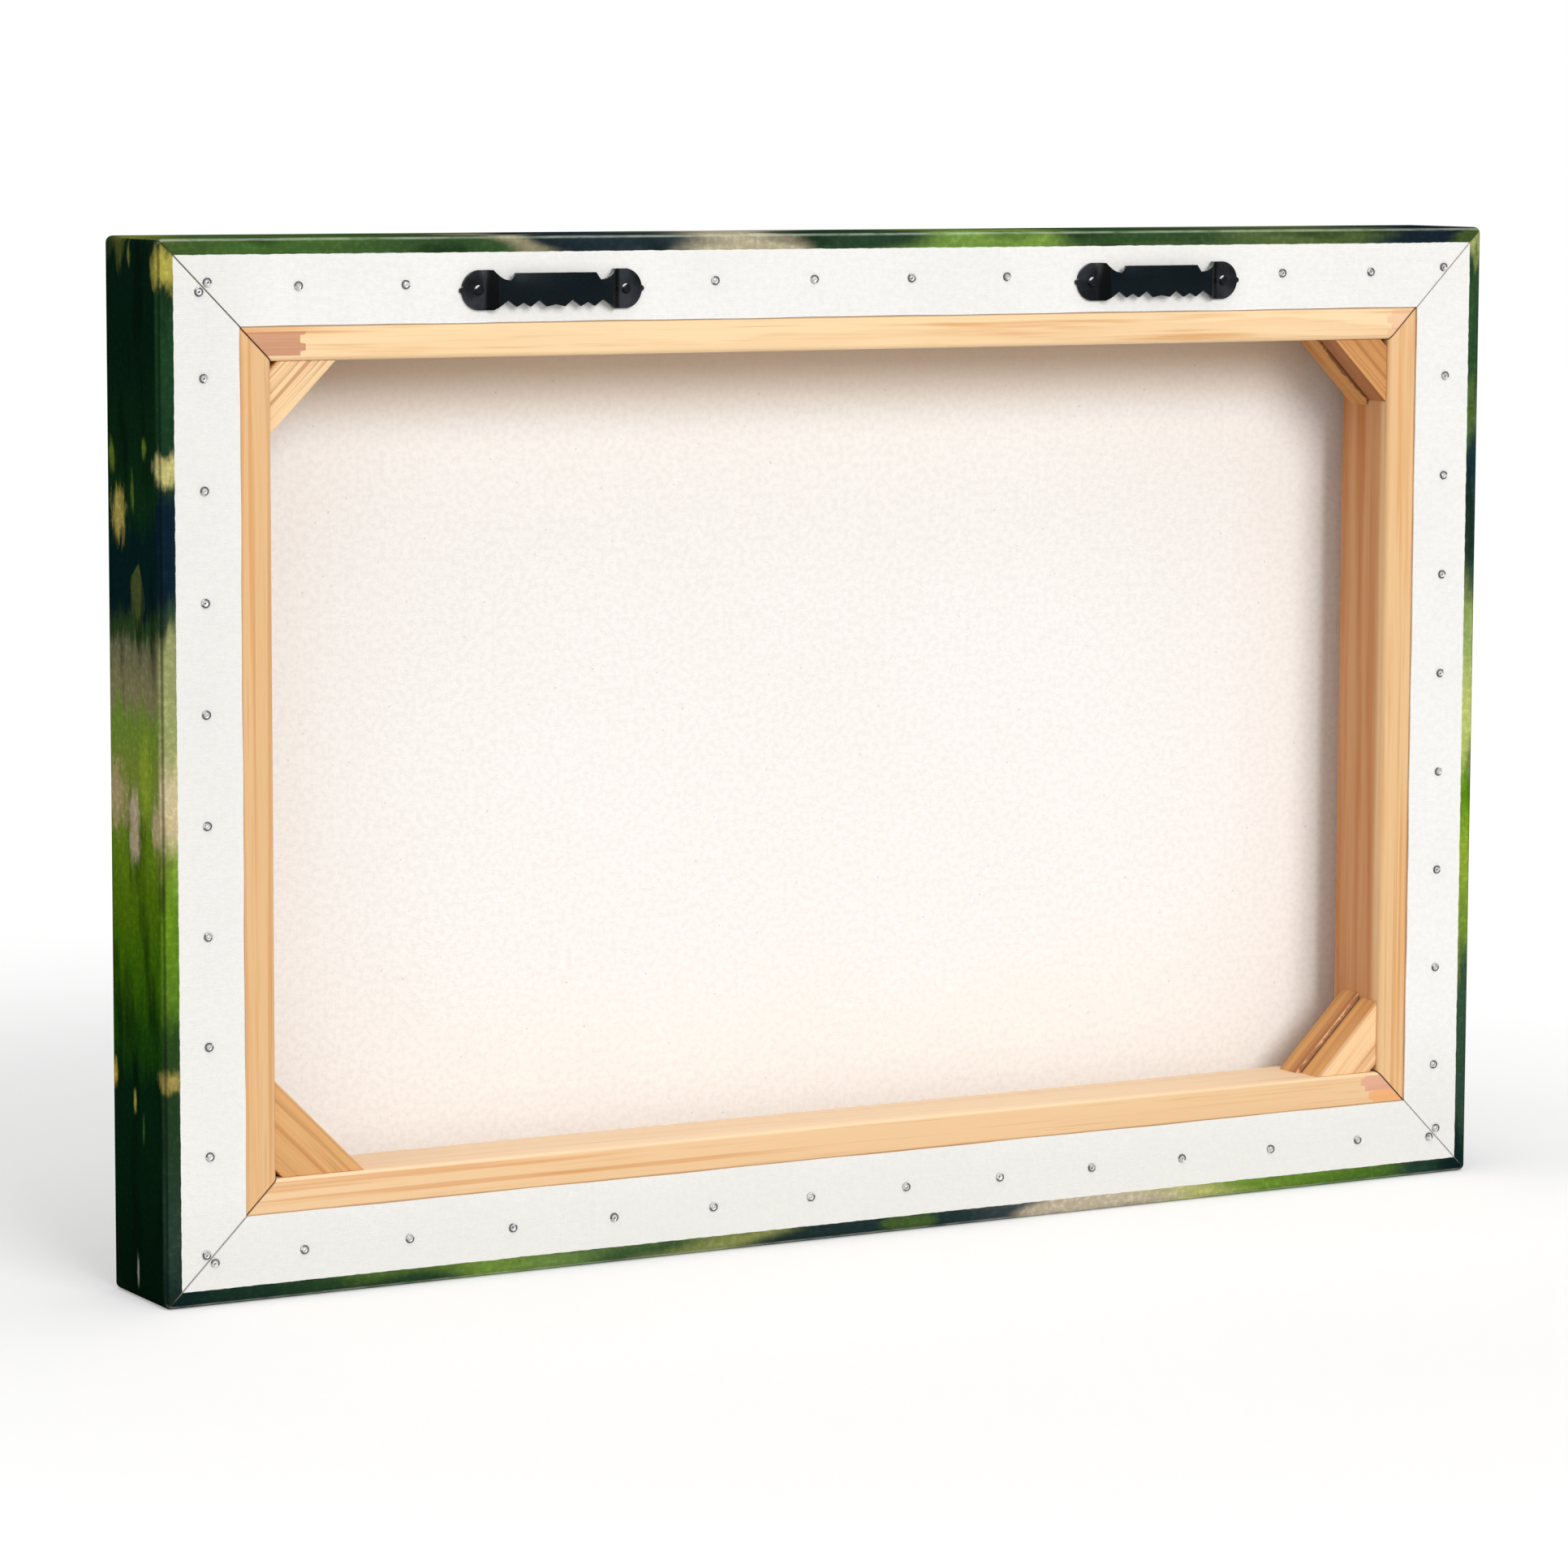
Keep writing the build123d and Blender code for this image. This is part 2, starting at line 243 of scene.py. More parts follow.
DABS = (                 # leaves and gravel on the +X side and its turned-over strip:
    # y from the back over DEPTH, z over HEIGHT, half sizes in mm (y, z), colour, strength
    (0.53, 0.985, 1.2, 4.0, (150, 150, 76), 0.6), (0.00, 0.972, 5.0, 6.5, (176, 166, 76), 0.95),
    (0.00, 0.786, 5.0, 5.0, (200, 190, 124), 0.9), (0.28, 0.806, 1.8, 4.0, (104, 130, 44), 0.7),
    (0.88, 0.795, 2.2, 5.0, (110, 132, 44), 0.7), (0.50, 0.765, 1.4, 6.0, (96, 122, 44), 0.6),
    (0.76, 0.742, 5.0, 8.5, (184, 168, 88), 0.9), (0.86, 0.475, 9.0, 11.0, (184, 162, 122), 0.85),
    (0.30, 0.500, 5.0, 14.0, (150, 172, 50), 0.7), (0.52, 0.452, 4.4, 12.0, (196, 176, 150), 0.9),
    (0.10, 0.455, 4.0, 9.0, (196, 176, 136), 0.8), (0.93, 0.209, 2.0, 4.0, (206, 170, 50), 0.9),
    (0.56, 0.190, 1.1, 4.0, (164, 158, 72), 0.8), (0.00, 0.215, 5.0, 3.6, (160, 144, 78), 0.85),
    (0.53, 0.026, 0.9, 5.0, (170, 176, 156), 0.75), (0.40, 0.165, 0.9, 5.0, (70, 110, 50), 0.5),
)
MINUS_X_EDGE = (         # up the -X edge
    (0.00, (14, 34, 34)), (0.07, (46, 68, 54)), (0.22, (52, 78, 56)),
    (0.27, (110, 138, 50)), (0.33, (138, 162, 52)), (0.40, (98, 142, 26)),
    (0.46, (176, 188, 104)), (0.53, (184, 192, 112)), (0.60, (142, 162, 94)),
    (0.66, (48, 74, 60)), (0.72, (24, 46, 54)), (0.79, (90, 116, 60)),
    (0.85, (44, 72, 44)), (0.96, (46, 74, 46)), (0.985, (150, 160, 96)), (1.00, (170, 178, 118)),
)
TOP_EDGE = (             # along the top edge, from -X to +X
    (0.00, (24, 36, 46)), (0.06, (24, 36, 46)), (0.10, (78, 98, 54)),
    (0.18, (84, 102, 58)), (0.24, (52, 76, 42)), (0.31, (50, 76, 42)),
    (0.36, (116, 148, 64)), (0.42, (112, 144, 66)), (0.48, (38, 62, 42)),
    (0.52, (44, 68, 48)), (0.56, (186, 176, 148)), (0.60, (178, 168, 140)),
    (0.65, (40, 52, 58)), (0.72, (28, 40, 46)), (0.755, (142, 136, 108)),
    (0.79, (52, 78, 44)), (0.95, (68, 100, 46)), (0.975, (62, 88, 42)), (1.00, (112, 118, 54)),
)
BOTTOM_EDGE = (          # along the bottom edge, from -X to +X
    (0.00, (14, 32, 32)), (0.06, (38, 62, 48)), (0.11, (72, 104, 40)),
    (0.19, (100, 132, 46)), (0.245, (170, 172, 106)), (0.29, (184, 172, 150)),
    (0.33, (178, 166, 144)), (0.37, (52, 62, 66)), (0.44, (34, 50, 50)),
    (0.56, (30, 46, 46)), (0.60, (128, 134, 78)), (0.65, (58, 82, 48)),
    (0.72, (98, 124, 66)), (0.79, (104, 132, 56)), (0.85, (38, 62, 38)),
    (0.95, (26, 48, 36)), (1.00, (14, 32, 34)),
)


def edge_colour(s, place, edge, along, wander=0.20):
    """Soft streaky colour along one edge, carried round the fold. along is 'x' or 'z'."""
    x, _, z = s.split(place)
    coordinate = s.times_plus(x, 1 / WIDTH, 0.5) if along == "x" else s.times(z, 1 / HEIGHT)

    def scale(lengthwise, crosswise):
        return ((lengthwise, crosswise, crosswise) if along == "x"
                else (crosswise, crosswise, lengthwise))

    streak_scale = scale(16, 74)
    detail, blend = (1.0, 0.01) if along == "x" else (4.0, 0.04)
    shift = s.noise(s.stretch(place, streak_scale), detail=detail, roughness=0.62)
    fine = s.noise(s.stretch(place, scale(70, 460)), detail=2.0)
    moved = s.times_plus(s.minus(shift, 0.5), wander, coordinate)
    moved = s.times_plus(s.minus(fine, 0.5), blend, moved)
    colour = s.ramp(moved, edge)
    light = s.noise(s.stretch(place, streak_scale, (3.7, 1.1, 8.3)), 1.6, detail=3.0)
    colour = s.mix(s.fade(light, 0.50, 0.32, 0.0, 0.60), colour, srgb(6, 22, 12))
    near, chances = s.cells(s.stretch(place, scale(34, 84), (0.6, 2.4, 0.9)))
    chance, hue, _ = s.split(chances)
    ragged = s.times_plus(fine, -0.5, s.math("ADD", near, 0.25))
    leaf = s.times(s.fade(ragged, 0.44, 0.22), s.fade(chance, 0.78, 0.82, 0.0, 0.5))
    return s.mix(leaf, colour, s.mix(hue, srgb(80, 108, 36), srgb(120, 124, 60)))


def dab(s, place, ragged, colour, spot):
    """One ragged dab of colour on the +X side or on the strip turned over behind it."""
    y, z, half_y, half_z, tint, strength = spot
    scale = (90.0, 1000 / half_y, 1000 / half_z)
    centre = (HALF_W, BACK - y * DEPTH, z * HEIGHT)
    offset = [-size * c for size, c in zip(scale, centre)]
    away = s.add("VectorMath", {"operation": "LENGTH"},
                 {0: s.stretch(place, scale, offset)}).outputs["Value"]
    mask = s.fade(s.times_plus(ragged, 2.0, away), 2.25, 1.30, 0.0, strength)
    return s.mix(mask, colour, srgb(*tint))


def garden(s, place):
    """The picture itself: a soft-focus lawn, a pale path and sunlit trees."""
    x, _, z = s.split(place)
    u = s.times_plus(x, 1 / WIDTH, 0.5)
    v = s.times(z, 1 / HEIGHT)
    flat = s.join(u, 0.0, v)
    roam = s.noise(s.stretch(flat, (5, 1, 6)), detail=3.0)
    wave = s.times(s.minus(roam, 0.5), 0.16)
    level = s.math("ADD", v, wave)
    base = s.ramp(level, (
        (0.00, (24, 46, 26)), (0.12, (46, 78, 30)), (0.25, (92, 130, 38)),
        (0.38, (134, 164, 62)), (0.47, (168, 182, 92)), (0.54, (118, 142, 70)),
        (0.60, (52, 82, 46)), (0.75, (30, 56, 38)), (1.00, (22, 44, 34)),
    ))
    leaves = s.noise(s.stretch(flat, (16, 1, 13)), detail=5.0, roughness=0.62)
    crowns = s.noise(s.stretch(flat, (5.5, 1, 5), (2, 0, 5)), detail=2.0)
    canopy = s.times(s.fade(level, 0.52, 0.66), s.fade(crowns, 0.42, 0.62))
    lit = s.times(canopy, s.fade(leaves, 0.44, 0.66))
    colour = s.mix(lit, base, srgb(132, 158, 66))
    sky = s.times(s.fade(level, 0.60, 0.95), s.fade(crowns, 0.46, 0.34))
    colour = s.mix(s.times(sky, 0.80), colour, srgb(232, 236, 202))
    grass = s.noise(s.stretch(flat, (60, 1, 20)), detail=4.0, roughness=0.6)
    lawn = s.fade(level, 0.50, 0.40)
    shade = s.noise(s.stretch(flat, (4, 1, 9), (7, 0, 1)), detail=3.0)
    dark = s.times(lawn, s.fade(shade, 0.52, 0.40))
    colour = s.mix(s.times(dark, 0.75), colour, srgb(34, 62, 26))
    tufts = s.times(lawn, s.fade(grass, 0.50, 0.68, 0.0, 0.45))
    colour = s.mix(tufts, colour, srgb(170, 190, 88))
    # The path comes in at the foot, widens towards the viewer and leaves at the side.
    bend = s.times_plus(s.math("POWER", s.math("MAXIMUM", v, 0.0), 2.4), 3.6, 0.30)
    half = s.times_plus(v, -0.16, 0.105)
    off = s.absolute(s.minus(s.times_plus(wave, 0.5, u), bend))
    path = s.times(s.fade(s.minus(off, half), 0.03, -0.01), s.fade(v, 0.52, 0.46))
    gravel = s.noise(s.stretch(flat, (90, 1, 70)), detail=3.0)
    stone = s.mix(gravel, srgb(172, 156, 126), srgb(214, 200, 172))
    colour = s.mix(path, colour, stone)
    for centre, width, foot in ((0.15, 0.020, 0.44), (0.24, 0.012, 0.50), (0.83, 0.024, 0.42)):
        lean = s.times_plus(wave, 0.35, u)
        side = s.absolute(s.minus(lean, centre))
        trunk = s.times(s.fade(side, width, width * 0.4), s.fade(v, foot - 0.01, foot + 0.02))
        colour = s.mix(s.times(trunk, 0.9), colour, srgb(38, 34, 26))
    return s.stretch(colour, (1.55, 1.50, 1.45))


def make_canvas_face():
    """Printed face of the cloth; the turned-over part is white beyond a narrow bleed."""
    s = Shader("canvas_face")
    place = s.position()
    x, y, z = s.split(place)
    from_plus_x = s.minus(HALF_W, x)
    from_minus_x = s.math("ADD", x, HALF_W)
    from_top = s.minus(HEIGHT, z)
    colour = garden(s, place)
    for distance, edge in ((from_top, TOP_EDGE), (z, BOTTOM_EDGE)):
        near = s.fade(distance, *STRIP_FADE)
        colour = s.mix(near, colour, edge_colour(s, place, edge, "x"))
    turned_over = s.fade(y, BACK - 0.0030, BACK - 0.0012)
    side = s.stretch(edge_colour(s, place, PLUS_X_SIDE, "z", 0.09), (0.90, 0.90, 0.90))
    plus_x = s.mix(turned_over, side, edge_colour(s, place, PLUS_X_STRIP, "z", 0.07))
    brushed = s.noise(s.stretch(place, (420, 420, 150)), detail=3.0, roughness=0.6)
    for spot in DABS:
        plus_x = dab(s, place, brushed, plus_x, spot)
    # Near a corner each strip keeps its own colours up to the mitre, softly on the front.
    blur = s.fade(y, FRONT + 0.001, FRONT + 0.012, 0.010, 0.0002)
    to_end = s.math("MINIMUM", from_top, z)
    for distance, strip in ((from_minus_x, edge_colour(s, place, MINUS_X_EDGE, "z")),
                            (from_plus_x, plus_x)):
        beside = s.math("DIVIDE", s.minus(to_end, distance), blur)
        own = s.times(s.fade(distance, *STRIP_FADE), s.fade(beside, -1.0, 1.0))
        colour = s.mix(own, colour, strip)
    inset = s.math("MINIMUM", *insets(s, x, z))
    ragged = s.noise(s.stretch(place, (300, 300, 300)), detail=2.0)
    edge = s.times_plus(s.minus(ragged, 0.5), 0.0005, inset)
    white = s.times(s.fade(edge, BLEED - 0.00008, BLEED + 0.00008),
                    s.math("GREATER_THAN", y, BACK - 0.0015))
    cloudy = s.noise(s.stretch(place, (30, 30, 30)), detail=4.0, roughness=0.6)
    height, nubs = weave(s)
    primer = s.mix(cloudy, srgb(231, 230, 227), srgb(240, 239, 236))
    primer = s.mix(s.fade(nubs, 0.62, 0.36, 0.0, 0.10), primer, srgb(196, 194, 190))
    # Painted shade: the white flaps are drawn greyer towards the bottom edge and towards the +X
    # side.
    painted_flap_shade = s.math("MAXIMUM", s.fade(z, 0.06, 0.01), s.fade(x, 0.19, 0.21, 0.0, 0.6))
    primer = s.mix(s.times(painted_flap_shade, 0.5), primer, srgb(214, 213, 208))
    speckle = s.fade(nubs, 0.64, 0.34, 0.0, 0.14)
    printed = s.mix(speckle, colour, srgb(10, 18, 14))
    brighter = s.stretch(printed, (1.7, 1.7, 1.7))
    printed = s.mix(s.fade(nubs, 0.50, 0.75, 0.0, 0.35), printed, brighter)
    facing_x, facing_y, facing_z = [s.absolute(part) for part in s.normal()]
    bent = s.math("MINIMUM", facing_y, s.times_plus(facing_x, 0.45, facing_z))
    # Folds that face up or down are drawn paler: partly worn ink, partly a painted highlight along
    # the fold.
    rubbed = s.noise(s.stretch(place, (120, 500, 120)), detail=4.0, roughness=0.6)
    fold_wear_and_highlight = s.times(s.fade(bent, 0.40, 0.68), s.fade(rubbed, 0.25, 0.65, 0.16, 0.62))
    printed = s.mix(fold_wear_and_highlight, printed, s.mix(0.5, printed, srgb(226, 234, 214)))
    # Painted shade: upright folds are drawn darker, as a shadow line along the fold.
    upright = s.fade(s.math("MINIMUM", facing_y, facing_x), 0.40, 0.66, 0.0, 0.6)
    printed = s.mix(upright, printed, srgb(6, 16, 10))
    final = s.mix(white, printed, primer)
    # Painted shade: a dark brown line drawn along the slit between two flaps, stronger towards +X.
    cut = s.times(mitre_line(s, x, z, 0.00046, 0.00020), s.math("GREATER_THAN", y, BACK - 0.0010))
    cut = s.times(cut, s.fade(inset, FLAP + 0.002, FLAP + 0.001))
    cut = s.times(cut, s.fade(x, -0.1, 0.1, 0.5, 0.8))
    final = s.mix(cut, final, srgb(52, 44, 36))
    rough = s.add("Mix", {"data_type": "FLOAT"}, {0: white, 2: 0.40, 3: 0.72}).outputs[0]
    rough = s.times_plus(cloudy, 0.10, rough)
    return s.finish(base_color=final, roughness=rough, specular_ior_level=0.0,
                    normal=s.bump(height, 0.00013, 0.85))


def make_raw_canvas():
    """Unprimed back of the cloth, cream coloured and uneven, with a painted warm shade below the top
    bar.
    """
    s = Shader("canvas_raw")
    place = s.position()
    height, nubs = weave(s)
    cloudy = s.noise(s.stretch(place, (9, 9, 9)), detail=4.0, roughness=0.6)
    colour = s.mix(cloudy, srgb(238, 234, 230), srgb(244, 242, 241))
    colour = s.mix(s.fade(nubs, 0.60, 0.36, 0.0, 0.16), colour, srgb(208, 199, 188))
    z = s.split(place)[2]
    # Painted shade: the cloth is drawn browner below the top bar, where that bar's shadow falls.
    painted_warm_shade = s.fade(z, HEIGHT - BAR_FACE - 0.026, HEIGHT - BAR_FACE, 0.0, 0.70)
    colour = s.mix(painted_warm_shade, colour, srgb(226, 198, 166))
    fleck, _ = s.cells(s.stretch(place, (150, 150, 150)))
    seeds = s.times(s.fade(fleck, 0.07, 0.03), 0.30)
    colour = s.mix(seeds, colour, srgb(170, 142, 112))
    return s.finish(base_color=colour, roughness=0.88, specular_ior_level=0.2,
                    sheen_weight=0.15, sheen_roughness=0.5,
                    normal=s.bump(height, 0.00016, 0.60))


# ---- wood -----------------------------------------------------------------------------
def lengthways(s, place, along, shift):
    """The place turned so that the grain runs along X, and shifted to its own bit of wood."""
    angle = {"x": 0.0, "z": math.pi / 2, "up": math.pi / 4, "down": -math.pi / 4}[along]
    turned = s.turn_y(place, angle) if angle else place
    return s.stretch(turned, (1, 1, 1), shift)


def grain(s, wood, ring, bend):
    """Growth rings, fibres, broad streaks and thin lines of a piece whose grain runs along X."""
    _, y, z = s.split(wood)
    sway = s.noise(s.stretch(wood, (9, 40, 40)), detail=3.0)
    sway = s.times(s.minus(sway, 0.5), bend)
    y_far = s.math("ADD", y, 0.055)
    z_far = s.math("ADD", z, 0.012)
    radius = s.math("SQRT", s.times_plus(y_far, y_far, s.times(z_far, z_far)))
    radius = s.math("ADD", radius, sway)
    uneven = s.noise(s.join(s.times(radius, 130), 0.0, 0.0), detail=1.0)
    count = s.times_plus(radius, 1 / ring, s.times(uneven, 4.5))
    rings = s.math("FRACT", count)
    late = s.times(s.fade(rings, 0.20, 0.88), s.fade(rings, 1.0, 0.90))
    season = s.add("TexWhiteNoise", {"noise_dimensions": "1D"},
                   {"W": s.math("FLOOR", count)}).outputs["Value"]
    late = s.times(late, s.fade(season, 0.15, 0.85, 0.15, 1.0))
    fibre = s.noise(s.stretch(wood, (22, 1500, 1500)), detail=3.0, roughness=0.6)
    streak = s.noise(s.stretch(wood, (7, 210, 210)), detail=3.0, roughness=0.55)
    patchy = s.noise(s.stretch(wood, (9, 90, 90), (5, 2, 1)), detail=2.0)
    late = s.times(late, s.fade(patchy, 0.32, 0.66, 0.25, 1.0))
    lines = s.noise(s.stretch(wood, (4, 520, 520), (1, 7, 3)), detail=2.0)
    return late, fibre, streak, s.fade(lines, 0.55, 0.67)


PATCHES = {              # finger-jointed ends: x from, x to, z from, z to, colour, strength
    "stretcher_bar_top": (
        (0.1846, 0.215, 0.2713, 0.2781, (176, 98, 78), 0.90),
        (-0.215, -0.1925, 0.2713, 0.2790, (226, 160, 132), 0.45),
    ),
    "stretcher_bar_bottom": (
        (-0.215, -0.1868, 0.0292, 0.0342, (206, 140, 124), 0.80),
        (-0.215, -0.1900, 0.0255, 0.0292, (226, 150, 84), 0.75),
    ),
}


def make_bar_wood(name, along, shift, pale, honey, heart_and_shade, marks):
    """Pale pine. heart_and_shade: share of reddish heartwood on the faces away from the back, which
    also serves as painted shade there. marks: dark streaks.
    """
    s = Shader("pine_" + name)
    place = s.position()
    wood = lengthways(s, place, along, shift)
    late, fibre, streak, lines = grain(s, wood, ring=0.0026, bend=0.006)
    tone = s.noise(s.stretch(wood, (6, 60, 60)), detail=2.0)
    colour = s.mix(tone, srgb(*honey), srgb(*pale))
    colour = s.mix(s.times(late, 0.30), colour, srgb(212, 154, 92))
    colour = s.mix(s.fade(streak, 0.54, 0.70, 0.0, marks), colour, srgb(212, 148, 82))
    colour = s.mix(s.times(lines, marks * 0.85), colour, srgb(202, 136, 70))
    # Painted light: wood that faces up is drawn paler, as if lit from above.
    _, _, facing_z = s.normal()
    colour = s.mix(s.fade(facing_z, 0.3, 0.8, 0.0, 0.55), colour, srgb(255, 228, 194))
    colour = s.mix(s.fade(fibre, 0.45, 0.25, 0.0, 0.28), colour, srgb(178, 116, 66))
    x, y, z = s.split(place)
    # Reddish colour on the inner faces: partly real heartwood, partly painted shade where these
    # faces lie in shadow.
    if heart_and_shade:
        heartwood_and_shade = s.fade(s.math("ADD", y, s.times(streak, 0.004)), 0.0175, 0.0150)
        heartwood_and_shade = s.times(heartwood_and_shade, s.fade(streak, 0.30, 0.70, heart_and_shade * 0.6, heart_and_shade))
        colour = s.mix(heartwood_and_shade, colour, srgb(178, 102, 40))
    soft = 0.0002
    for x_from, x_to, z_from, z_to, patch, strength in PATCHES.get(name, ()):
        fingers = s.fade(s.math("PINGPONG", z, 0.0023), 0.0010, 0.0014, 0.0, 0.0017)
        x_jagged = s.math("ADD", x, fingers)
        inside = s.times(s.fade(x_jagged, x_from - soft, x_from + soft),
                         s.fade(x_jagged, x_to + soft, x_to - soft))
        band = s.times(s.fade(z, z_from - soft, z_from + soft), s.fade(z, z_to + soft, z_to - soft))
        mask = s.times(inside, band)
        mottled = s.fade(streak, 0.25, 0.75, strength, strength * 0.55)
        colour = s.mix(s.times(mask, mottled), colour, srgb(*patch))
    # A dark brown line where two bars meet at the mitre: partly the dark joint, partly painted shade
    # in the gap.
    mitre = s.times(mitre_line(s, x, z, 0.00050, 0.00025), 0.75)
    colour = s.mix(mitre, colour, srgb(96, 60, 36))
    # Painted shadow: a thin dark line on the wood along the flap's inner edge, where the flap casts
    # its shadow.
    inset = s.math("MINIMUM", *insets(s, x, z))
    painted_flap_shadow = s.times(s.fade(inset, FLAP + 0.0006, FLAP + 0.0002, 0.0, 0.55),
                    s.math("GREATER_THAN", y, 0.0170))
    colour = s.mix(painted_flap_shadow, colour, srgb(128, 86, 52))
    rough = s.times_plus(late, -0.10, 0.56)
    height = s.times_plus(fibre, 0.7, s.times(late, 0.3))
    return s.finish(base_color=colour, roughness=rough, specular_ior_level=0.35,
                    normal=s.bump(height, 0.00012, 0.5))


def make_block_wood(name, along, shift, meeting_y, pale, honey, sawn_colours):
    """Coarser wood with its grain along the block's long edge, golden where it was sawn."""
    s = Shader("block_" + name)
    place = s.position()
    wood = lengthways(s, place, along, shift)
    late, fibre, streak, lines = grain(s, wood, ring=0.0019, bend=0.008)
    tone = s.noise(s.stretch(wood, (14, 90, 90)), detail=2.0)
    colour = s.mix(tone, srgb(*honey), srgb(*pale))
    colour = s.mix(s.times(late, 0.65), colour, srgb(176, 112, 58))
    colour = s.mix(s.fade(streak, 0.50, 0.70, 0.0, 0.45), colour, srgb(190, 122, 62))
    colour = s.mix(s.times(lines, 0.60), colour, srgb(160, 98, 48))
    colour = s.mix(s.fade(fibre, 0.45, 0.25, 0.0, 0.35), colour, srgb(150, 92, 46))
    _, facing_y, _ = s.normal()
    light, dark = sawn_colours
    banded = s.mix(s.fade(streak, 0.30, 0.68), srgb(*light), srgb(*dark))
    sawn = s.fade(s.absolute(facing_y), 0.8, 0.3, 0.0, 0.80)
    colour = s.mix(sawn, colour, banded)
    _, y, _ = s.split(place)
    ragged = s.noise(s.stretch(place, (230, 230, 230)), detail=4.0, roughness=0.65)
    off = s.absolute(s.minus(y, meeting_y))
    stain = s.times(s.fade(off, 0.0030, 0.0004, 0.0, 0.4), sawn)
    colour = s.mix(stain, colour, srgb(140, 78, 34))
    off = s.times_plus(s.minus(ragged, 0.5), 0.0026, off)
    glue = s.fade(off, 0.0006, 0.0001, 0.0, 0.75)
    colour = s.mix(glue, colour, srgb(110, 52, 24))
    height = s.times_plus(fibre, 0.7, s.times(late, 0.4))
    return s.finish(base_color=colour, roughness=0.58, specular_ior_level=0.35,
                    normal=s.bump(height, 0.00016, 0.6))


# ---- metal ----------------------------------------------------------------------------
def make_steel(name, dark, light, roughness, metallic):
    """Steel with fine scratches and blotches."""
    s = Shader(name)
    place = s.position()
    blotch = s.noise(s.stretch(place, (260, 260, 260)), detail=4.0, roughness=0.6)
    scratch = s.noise(s.stretch(place, (700, 4000, 2600)), detail=2.0)
    colour = s.mix(blotch, dark, light)
    rough = s.times_plus(blotch, 0.22, roughness - 0.11)
    rough = s.times_plus(scratch, 0.08, rough)
    height = s.times_plus(scratch, 0.5, blotch)
    return s.finish(base_color=colour, metallic=metallic, roughness=rough,
                    normal=s.bump(height, 0.00004, 0.5))


def make_enamel():
    """Glossy black enamel, with painted shade on the bends, a painted sheen on the pads and painted
    highlights on upper cut edges.
    """
    s = Shader("black_enamel")
    place = s.position()
    _, y, _ = s.split(place)
    facing_x, facing_y, facing_z = s.normal()
    cloud = s.noise(s.stretch(place, (90, 90, 90)), detail=3.0)
    fine = s.noise(s.stretch(place, (900, 900, 900)), detail=3.0)
    plate = s.mix(cloud, srgb(5, 13, 17), srgb(13, 24, 29))
    # Painted sheen: the pads are drawn greyer than the plate.
    pad_sheen = s.mix(s.fade(cloud, 0.35, 0.65), srgb(16, 19, 22), srgb(52, 55, 60))
    colour = s.mix(s.fade(y, BACK + 0.0016, BACK + 0.0012), plate, pad_sheen)
    # Painted shade: bends that face sideways are drawn near black.
    bend = s.times(s.fade(s.absolute(facing_x), 0.2, 0.35), s.fade(facing_y, 0.1, 0.3))
    colour = s.mix(bend, colour, srgb(1, 2, 3))
    # Painted highlight: faces that look up are drawn pale grey.
    painted_edge_highlight = s.times(s.fade(facing_z, 0.35, 0.75), s.fade(fine, 0.35, 0.60, 0.2, 0.8))
    colour = s.mix(painted_edge_highlight, colour, srgb(150, 154, 156))
    rough = s.times_plus(fine, 0.14, 0.22)
    return s.finish(base_color=colour, roughness=rough, specular_ior_level=0.10,
                    normal=s.bump(fine, 0.00003, 0.3))


def make_nail_black():
    """A blackened nail head with one bright crescent painted as a highlight on its upper edge."""
    s = Shader("black_nail")
    place = s.position()
    fine = s.noise(s.stretch(place, (1200, 1200, 1200)), detail=3.0)
    # Painted highlight: faces turned towards one fixed direction, up and to one side, are drawn
    # bright.
    towards = s.add("VectorMath", {"operation": "DOT_PRODUCT"},
                    {0: s.join(*s.normal()), 1: (0.52, 0.45, 0.72)}).outputs["Value"]
    painted_glint = s.times_plus(s.minus(fine, 0.5), 0.12, towards)
    colour = s.mix(s.fade(painted_glint, 0.80, 0.92, 0.0, 0.9), srgb(18, 21, 25), srgb(235, 235, 232))
    rough = s.times_plus(fine, 0.2, 0.2)
    return s.finish(base_color=colour, roughness=rough, specular_ior_level=0.15,
                    normal=s.bump(fine, 0.00003, 0.4))


# ---- pieces ---------------------------------------------------------------------------
def place_piece(piece, slot, *replaced):
    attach(piece, "root")
    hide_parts(*replaced)


def link(mesh, name):
    piece = bpy.data.objects.new(name, mesh)
    bpy.context.scene.collection.objects.link(piece)
    return piece


def eased_copy(node, width, material):
    """The node's own shape with its sharp edges broken, as the real piece has them."""
    mesh = nodes[node].data.copy()
    mesh.name = node + "_mesh"
    shape = bmesh.new()
    shape.from_mesh(mesh)
    bmesh.ops.remove_doubles(shape, verts=shape.verts, dist=1e-6)
    bmesh.ops.dissolve_limit(shape, angle_limit=math.radians(0.5), verts=shape.verts,
                             edges=shape.edges)
    sharp = [e for e in shape.edges
             if len(e.link_faces) == 2 and e.is_convex
             and e.calc_face_angle(0) > math.radians(38)]
    bmesh.ops.bevel(shape, geom=sharp, offset=width, segments=2, profile=0.6, affect="EDGES",
                    clamp_overlap=True)
    bmesh.ops.triangulate(shape, faces=[f for f in shape.faces if len(f.verts) > 4])
    for face in shape.faces:
        face.smooth = True
    shape.to_mesh(mesh)
    shape.free()
    mesh.materials.clear()
    mesh.materials.append(material)
    mesh.set_sharp_from_angle(angle=math.radians(32))
    return link(mesh, node + "_look")


